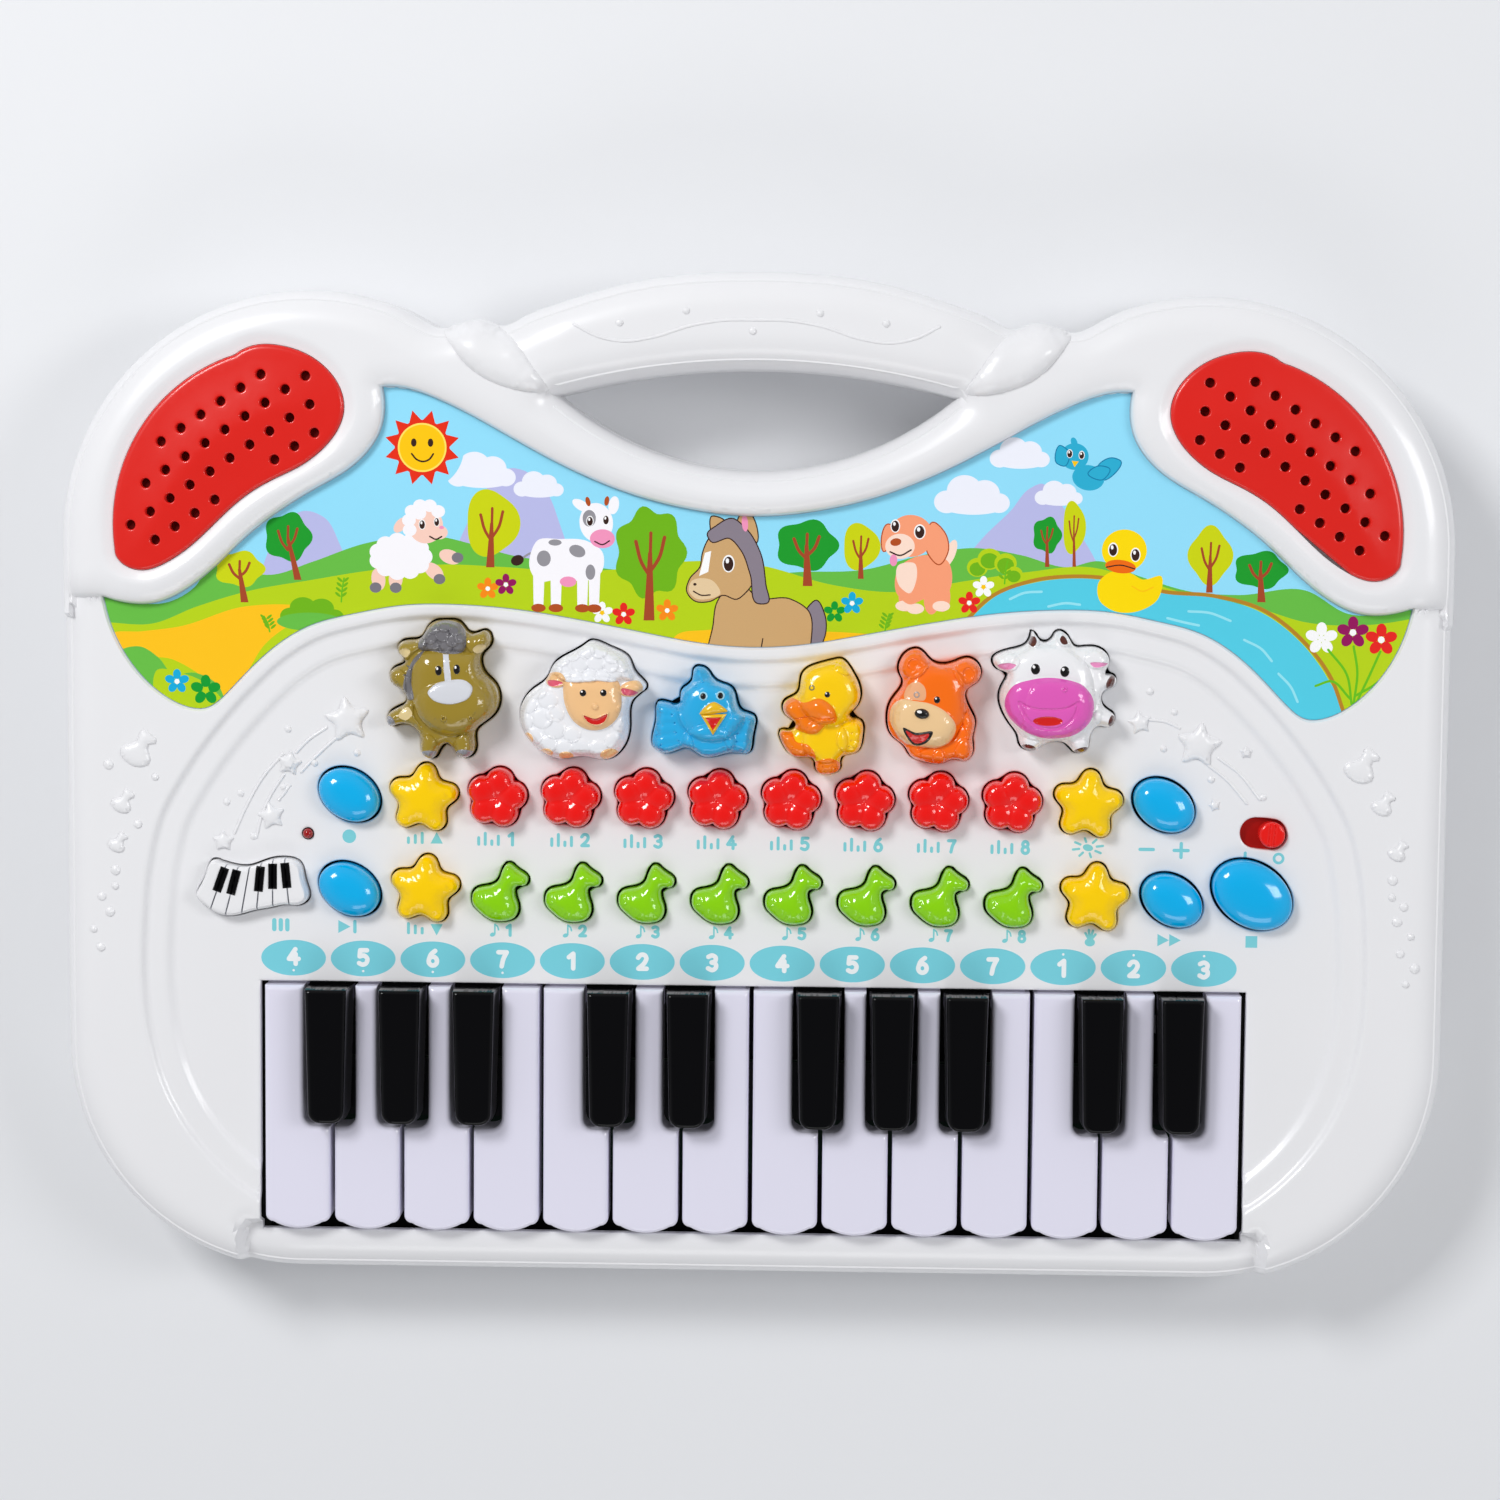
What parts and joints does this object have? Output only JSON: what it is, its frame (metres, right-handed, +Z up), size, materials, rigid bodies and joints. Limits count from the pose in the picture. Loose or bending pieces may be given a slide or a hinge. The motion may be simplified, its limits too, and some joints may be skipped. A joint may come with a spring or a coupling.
{
  "type": "toy electronic keyboard",
  "caption": "Toy electronic keyboard with piano keys, animal and shape push-buttons, red speaker grilles, picture label and a carrying handle.",
  "frame": {"origin": "centre of the footprint, on the table plane under the rubber feet", "axes": "+X along the keys from low notes to high notes, +Y from the player towards the carrying handle, +Z up"},
  "size_m": [0.4, 0.292, 0.049],
  "materials": {
    "casing_white": "moulded white ABS, soft gloss",
    "grille_red": "moulded red ABS, satin",
    "picture_label": "printed and laminated vinyl label",
    "key_white": "moulded white ABS, gloss",
    "key_black": "moulded black ABS, high gloss",
    "button_blue": "moulded blue ABS, gloss",
    "button_yellow": "moulded yellow ABS, gloss",
    "button_red": "moulded red ABS, gloss",
    "button_green": "moulded green ABS, gloss",
    "piano_white": "moulded white ABS with printed black keys",
    "switch_red": "moulded red ABS, satin",
    "lamp_red": "tinted epoxy lamp",
    "horse_olive": "painted moulded ABS",
    "sheep_white": "painted moulded ABS",
    "bird_blue": "painted moulded ABS",
    "duck_yellow": "painted moulded ABS",
    "dog_orange": "painted moulded ABS",
    "cow_white": "painted moulded ABS",
    "chassis_black": "moulded black ABS, matt",
    "circuit_board": "green solder-masked board",
    "silicone_pads": "translucent silicone rubber",
    "cell_jacket": "printed steel cell jacket",
    "plated_steel": "nickel-plated spring steel and screws",
    "speaker_dark": "black painted basket and paper cone",
    "foot_rubber": "soft rubber"
  },
  "bodies": {
    "housing": {"upper_housing": "casing_white", "lower_housing": "casing_white", "screws": "plated_steel", "rubber_feet": "foot_rubber", "speaker_grille_left": "grille_red", "speaker_grille_right": "grille_red", "speaker_drivers": "speaker_dark", "scene_label": "picture_label", "main_circuit_board": "circuit_board", "contact_pads": "silicone_pads", "batteries": "cell_jacket", "battery_contacts": "plated_steel", "key_chassis": "chassis_black", "key_hinge_rod": "plated_steel", "record_led": "lamp_red"},
    "battery_door": {"battery_door": "casing_white", "battery_door_screw": "plated_steel"},
    "horse_button": {"horse_button": "horse_olive"},
    "sheep_button": {"sheep_button": "sheep_white"},
    "bird_button": {"bird_button": "bird_blue"},
    "duck_button": {"duck_button": "duck_yellow"},
    "dog_button": {"dog_button": "dog_orange"},
    "cow_button": {"cow_button": "cow_white"},
    "record_button": {"record_button": "button_blue"},
    "replay_button": {"replay_button": "button_blue"},
    "volume_button": {"volume_button": "button_blue"},
    "demo_button": {"demo_button": "button_blue"},
    "stop_button": {"stop_button": "button_blue"},
    "tempo_up_button": {"tempo_up_button": "button_yellow"},
    "tempo_down_button": {"tempo_down_button": "button_yellow"},
    "drum_button": {"drum_button": "button_yellow"},
    "clap_button": {"clap_button": "button_yellow"},
    "rhythm_button_bank": {"rhythm_button_bank": "button_red"},
    "song_button_bank": {"song_button_bank": "button_green"},
    "piano_button": {"piano_button": "piano_white"},
    "power_switch_knob": {"power_switch_knob": "switch_red"},
    "white_key_01": {"white_key_01": "key_white"},
    "white_key_02": {"white_key_02": "key_white"},
    "white_key_03": {"white_key_03": "key_white"},
    "white_key_04": {"white_key_04": "key_white"},
    "white_key_05": {"white_key_05": "key_white"},
    "white_key_06": {"white_key_06": "key_white"},
    "white_key_07": {"white_key_07": "key_white"},
    "white_key_08": {"white_key_08": "key_white"},
    "white_key_09": {"white_key_09": "key_white"},
    "white_key_10": {"white_key_10": "key_white"},
    "white_key_11": {"white_key_11": "key_white"},
    "white_key_12": {"white_key_12": "key_white"},
    "white_key_13": {"white_key_13": "key_white"},
    "white_key_14": {"white_key_14": "key_white"},
    "black_key_01": {"black_key_01": "key_black"},
    "black_key_02": {"black_key_02": "key_black"},
    "black_key_03": {"black_key_03": "key_black"},
    "black_key_04": {"black_key_04": "key_black"},
    "black_key_05": {"black_key_05": "key_black"},
    "black_key_06": {"black_key_06": "key_black"},
    "black_key_07": {"black_key_07": "key_black"},
    "black_key_08": {"black_key_08": "key_black"},
    "black_key_09": {"black_key_09": "key_black"},
    "black_key_10": {"black_key_10": "key_black"}
  },
  "joints": [
    {"name": "horse_button_press", "type": "slide", "parent": "housing", "child": "horse_button", "axis": [0, 0, -1], "range_m": [0, 0.0018], "stiffness_N_per_m": 150, "springref_m": -0.002},
    {"name": "sheep_button_press", "type": "slide", "parent": "housing", "child": "sheep_button", "axis": [0, 0, -1], "range_m": [0, 0.0018], "stiffness_N_per_m": 150, "springref_m": -0.002},
    {"name": "bird_button_press", "type": "slide", "parent": "housing", "child": "bird_button", "axis": [0, 0, -1], "range_m": [0, 0.0018], "stiffness_N_per_m": 150, "springref_m": -0.002},
    {"name": "duck_button_press", "type": "slide", "parent": "housing", "child": "duck_button", "axis": [0, 0, -1], "range_m": [0, 0.0018], "stiffness_N_per_m": 150, "springref_m": -0.002},
    {"name": "dog_button_press", "type": "slide", "parent": "housing", "child": "dog_button", "axis": [0, 0, -1], "range_m": [0, 0.0018], "stiffness_N_per_m": 150, "springref_m": -0.002},
    {"name": "cow_button_press", "type": "slide", "parent": "housing", "child": "cow_button", "axis": [0, 0, -1], "range_m": [0, 0.0018], "stiffness_N_per_m": 150, "springref_m": -0.002},
    {"name": "record_button_press", "type": "slide", "parent": "housing", "child": "record_button", "axis": [0, 0, -1], "range_m": [0, 0.0018], "stiffness_N_per_m": 150, "springref_m": -0.002},
    {"name": "replay_button_press", "type": "slide", "parent": "housing", "child": "replay_button", "axis": [0, 0, -1], "range_m": [0, 0.0018], "stiffness_N_per_m": 150, "springref_m": -0.002},
    {"name": "volume_button_press", "type": "slide", "parent": "housing", "child": "volume_button", "axis": [0, 0, -1], "range_m": [0, 0.0018], "stiffness_N_per_m": 150, "springref_m": -0.002},
    {"name": "demo_button_press", "type": "slide", "parent": "housing", "child": "demo_button", "axis": [0, 0, -1], "range_m": [0, 0.0018], "stiffness_N_per_m": 150, "springref_m": -0.002},
    {"name": "stop_button_press", "type": "slide", "parent": "housing", "child": "stop_button", "axis": [0, 0, -1], "range_m": [0, 0.0018], "stiffness_N_per_m": 150, "springref_m": -0.002},
    {"name": "tempo_up_button_press", "type": "slide", "parent": "housing", "child": "tempo_up_button", "axis": [0, 0, -1], "range_m": [0, 0.0018], "stiffness_N_per_m": 150, "springref_m": -0.002},
    {"name": "tempo_down_button_press", "type": "slide", "parent": "housing", "child": "tempo_down_button", "axis": [0, 0, -1], "range_m": [0, 0.0018], "stiffness_N_per_m": 150, "springref_m": -0.002},
    {"name": "drum_button_press", "type": "slide", "parent": "housing", "child": "drum_button", "axis": [0, 0, -1], "range_m": [0, 0.0018], "stiffness_N_per_m": 150, "springref_m": -0.002},
    {"name": "clap_button_press", "type": "slide", "parent": "housing", "child": "clap_button", "axis": [0, 0, -1], "range_m": [0, 0.0018], "stiffness_N_per_m": 150, "springref_m": -0.002},
    {"name": "rhythm_button_bank_press", "type": "slide", "parent": "housing", "child": "rhythm_button_bank", "axis": [0, 0, -1], "range_m": [0, 0.0018], "stiffness_N_per_m": 150, "springref_m": -0.002},
    {"name": "song_button_bank_press", "type": "slide", "parent": "housing", "child": "song_button_bank", "axis": [0, 0, -1], "range_m": [0, 0.0018], "stiffness_N_per_m": 150, "springref_m": -0.002},
    {"name": "piano_button_press", "type": "slide", "parent": "housing", "child": "piano_button", "axis": [0, 0, -1], "range_m": [0, 0.0018], "stiffness_N_per_m": 150, "springref_m": -0.002},
    {"name": "power_switch_slide", "type": "slide", "parent": "housing", "child": "power_switch_knob", "axis": [-0.9962, 0.0872, 0], "range_m": [0, 0.0045]},
    {"name": "battery_door_lift_off", "type": "slide", "parent": "housing", "child": "battery_door", "axis": [0, 0, -1], "range_m": [0, 0.03], "stiffness_N_per_m": 40, "springref_m": -0.006},
    {"name": "white_key_01_press", "type": "hinge", "parent": "housing", "child": "white_key_01", "pos_m": [0, -0.052, 0.028], "axis": [1, 0, 0], "range_deg": [0, 2.8], "stiffness_Nm_per_rad": 0.3, "springref_deg": -1.89},
    {"name": "white_key_02_press", "type": "hinge", "parent": "housing", "child": "white_key_02", "pos_m": [0, -0.052, 0.028], "axis": [1, 0, 0], "range_deg": [0, 2.8], "stiffness_Nm_per_rad": 0.3, "springref_deg": -1.89},
    {"name": "white_key_03_press", "type": "hinge", "parent": "housing", "child": "white_key_03", "pos_m": [0, -0.052, 0.028], "axis": [1, 0, 0], "range_deg": [0, 2.8], "stiffness_Nm_per_rad": 0.3, "springref_deg": -1.89},
    {"name": "white_key_04_press", "type": "hinge", "parent": "housing", "child": "white_key_04", "pos_m": [0, -0.052, 0.028], "axis": [1, 0, 0], "range_deg": [0, 2.8], "stiffness_Nm_per_rad": 0.3, "springref_deg": -1.89},
    {"name": "white_key_05_press", "type": "hinge", "parent": "housing", "child": "white_key_05", "pos_m": [0, -0.052, 0.028], "axis": [1, 0, 0], "range_deg": [0, 2.8], "stiffness_Nm_per_rad": 0.3, "springref_deg": -1.89},
    {"name": "white_key_06_press", "type": "hinge", "parent": "housing", "child": "white_key_06", "pos_m": [0, -0.052, 0.028], "axis": [1, 0, 0], "range_deg": [0, 2.8], "stiffness_Nm_per_rad": 0.3, "springref_deg": -1.89},
    {"name": "white_key_07_press", "type": "hinge", "parent": "housing", "child": "white_key_07", "pos_m": [0, -0.052, 0.028], "axis": [1, 0, 0], "range_deg": [0, 2.8], "stiffness_Nm_per_rad": 0.3, "springref_deg": -1.89},
    {"name": "white_key_08_press", "type": "hinge", "parent": "housing", "child": "white_key_08", "pos_m": [0, -0.052, 0.028], "axis": [1, 0, 0], "range_deg": [0, 2.8], "stiffness_Nm_per_rad": 0.3, "springref_deg": -1.89},
    {"name": "white_key_09_press", "type": "hinge", "parent": "housing", "child": "white_key_09", "pos_m": [0, -0.052, 0.028], "axis": [1, 0, 0], "range_deg": [0, 2.8], "stiffness_Nm_per_rad": 0.3, "springref_deg": -1.89},
    {"name": "white_key_10_press", "type": "hinge", "parent": "housing", "child": "white_key_10", "pos_m": [0, -0.052, 0.028], "axis": [1, 0, 0], "range_deg": [0, 2.8], "stiffness_Nm_per_rad": 0.3, "springref_deg": -1.89},
    {"name": "white_key_11_press", "type": "hinge", "parent": "housing", "child": "white_key_11", "pos_m": [0, -0.052, 0.028], "axis": [1, 0, 0], "range_deg": [0, 2.8], "stiffness_Nm_per_rad": 0.3, "springref_deg": -1.89},
    {"name": "white_key_12_press", "type": "hinge", "parent": "housing", "child": "white_key_12", "pos_m": [0, -0.052, 0.028], "axis": [1, 0, 0], "range_deg": [0, 2.8], "stiffness_Nm_per_rad": 0.3, "springref_deg": -1.89},
    {"name": "white_key_13_press", "type": "hinge", "parent": "housing", "child": "white_key_13", "pos_m": [0, -0.052, 0.028], "axis": [1, 0, 0], "range_deg": [0, 2.8], "stiffness_Nm_per_rad": 0.3, "springref_deg": -1.89},
    {"name": "white_key_14_press", "type": "hinge", "parent": "housing", "child": "white_key_14", "pos_m": [0, -0.052, 0.028], "axis": [1, 0, 0], "range_deg": [0, 2.8], "stiffness_Nm_per_rad": 0.3, "springref_deg": -1.89},
    {"name": "black_key_01_press", "type": "hinge", "parent": "housing", "child": "black_key_01", "pos_m": [0, -0.052, 0.028], "axis": [1, 0, 0], "range_deg": [0, 3.6], "stiffness_Nm_per_rad": 0.3, "springref_deg": -1.89},
    {"name": "black_key_02_press", "type": "hinge", "parent": "housing", "child": "black_key_02", "pos_m": [0, -0.052, 0.028], "axis": [1, 0, 0], "range_deg": [0, 3.6], "stiffness_Nm_per_rad": 0.3, "springref_deg": -1.89},
    {"name": "black_key_03_press", "type": "hinge", "parent": "housing", "child": "black_key_03", "pos_m": [0, -0.052, 0.028], "axis": [1, 0, 0], "range_deg": [0, 3.6], "stiffness_Nm_per_rad": 0.3, "springref_deg": -1.89},
    {"name": "black_key_04_press", "type": "hinge", "parent": "housing", "child": "black_key_04", "pos_m": [0, -0.052, 0.028], "axis": [1, 0, 0], "range_deg": [0, 3.6], "stiffness_Nm_per_rad": 0.3, "springref_deg": -1.89},
    {"name": "black_key_05_press", "type": "hinge", "parent": "housing", "child": "black_key_05", "pos_m": [0, -0.052, 0.028], "axis": [1, 0, 0], "range_deg": [0, 3.6], "stiffness_Nm_per_rad": 0.3, "springref_deg": -1.89},
    {"name": "black_key_06_press", "type": "hinge", "parent": "housing", "child": "black_key_06", "pos_m": [0, -0.052, 0.028], "axis": [1, 0, 0], "range_deg": [0, 3.6], "stiffness_Nm_per_rad": 0.3, "springref_deg": -1.89},
    {"name": "black_key_07_press", "type": "hinge", "parent": "housing", "child": "black_key_07", "pos_m": [0, -0.052, 0.028], "axis": [1, 0, 0], "range_deg": [0, 3.6], "stiffness_Nm_per_rad": 0.3, "springref_deg": -1.89},
    {"name": "black_key_08_press", "type": "hinge", "parent": "housing", "child": "black_key_08", "pos_m": [0, -0.052, 0.028], "axis": [1, 0, 0], "range_deg": [0, 3.6], "stiffness_Nm_per_rad": 0.3, "springref_deg": -1.89},
    {"name": "black_key_09_press", "type": "hinge", "parent": "housing", "child": "black_key_09", "pos_m": [0, -0.052, 0.028], "axis": [1, 0, 0], "range_deg": [0, 3.6], "stiffness_Nm_per_rad": 0.3, "springref_deg": -1.89},
    {"name": "black_key_10_press", "type": "hinge", "parent": "housing", "child": "black_key_10", "pos_m": [0, -0.052, 0.028], "axis": [1, 0, 0], "range_deg": [0, 3.6], "stiffness_Nm_per_rad": 0.3, "springref_deg": -1.89}
  ]
}
